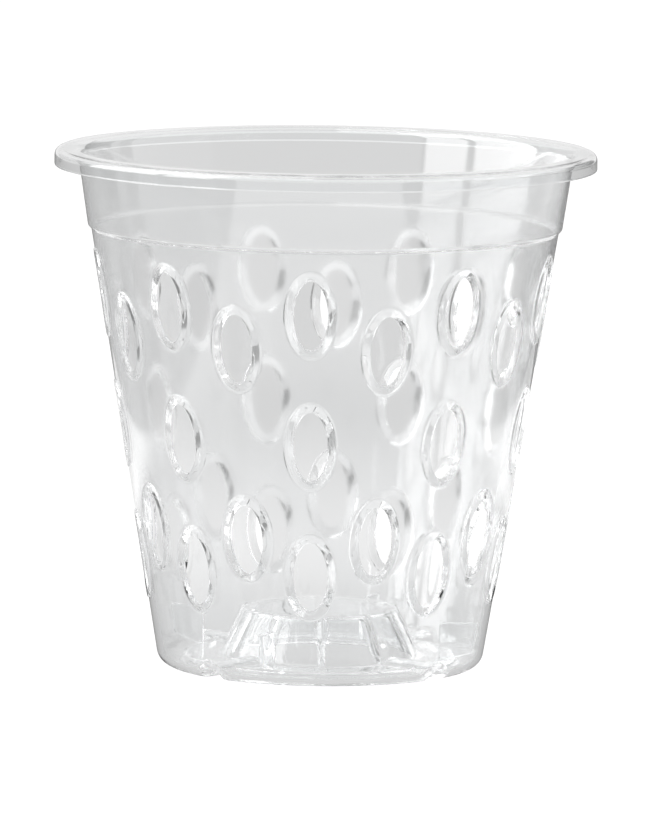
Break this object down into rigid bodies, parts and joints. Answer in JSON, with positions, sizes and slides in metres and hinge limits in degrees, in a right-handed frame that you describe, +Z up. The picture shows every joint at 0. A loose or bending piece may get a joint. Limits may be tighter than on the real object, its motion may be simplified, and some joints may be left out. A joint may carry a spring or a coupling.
{
  "type": "orchid pot",
  "caption": "Clear plastic orchid pot: a tapered cup with a turned-down rim, staggered oval air slots with raised bevelled collars, and a fluted cone in the floor.",
  "frame": {"origin": "centre of the standing face, on the pot's axis", "axes": "+Z up along the pot's axis, -Y the front, where the first column of slots is"},
  "size_m": [0.15, 0.15, 0.1436],
  "materials": {
    "clear_plastic": "gloss"
  },
  "bodies": {
    "root": {"rim_flange": "clear_plastic", "rim_lip": "clear_plastic", "collar_band": "clear_plastic", "step_ledge": "clear_plastic", "slotted_wall": "clear_plastic", "slot_collars_row_1": "clear_plastic", "slot_collars_row_2": "clear_plastic", "slot_collars_row_3": "clear_plastic", "slot_collars_row_4": "clear_plastic", "slot_collars_row_5": "clear_plastic", "base_corner": "clear_plastic", "floor_plate": "clear_plastic", "cone_wall": "clear_plastic", "cone_cap": "clear_plastic", "cone_ribs": "clear_plastic", "drain_tunnels": "clear_plastic", "stacking_lugs": "clear_plastic"}
  },
  "joints": []
}
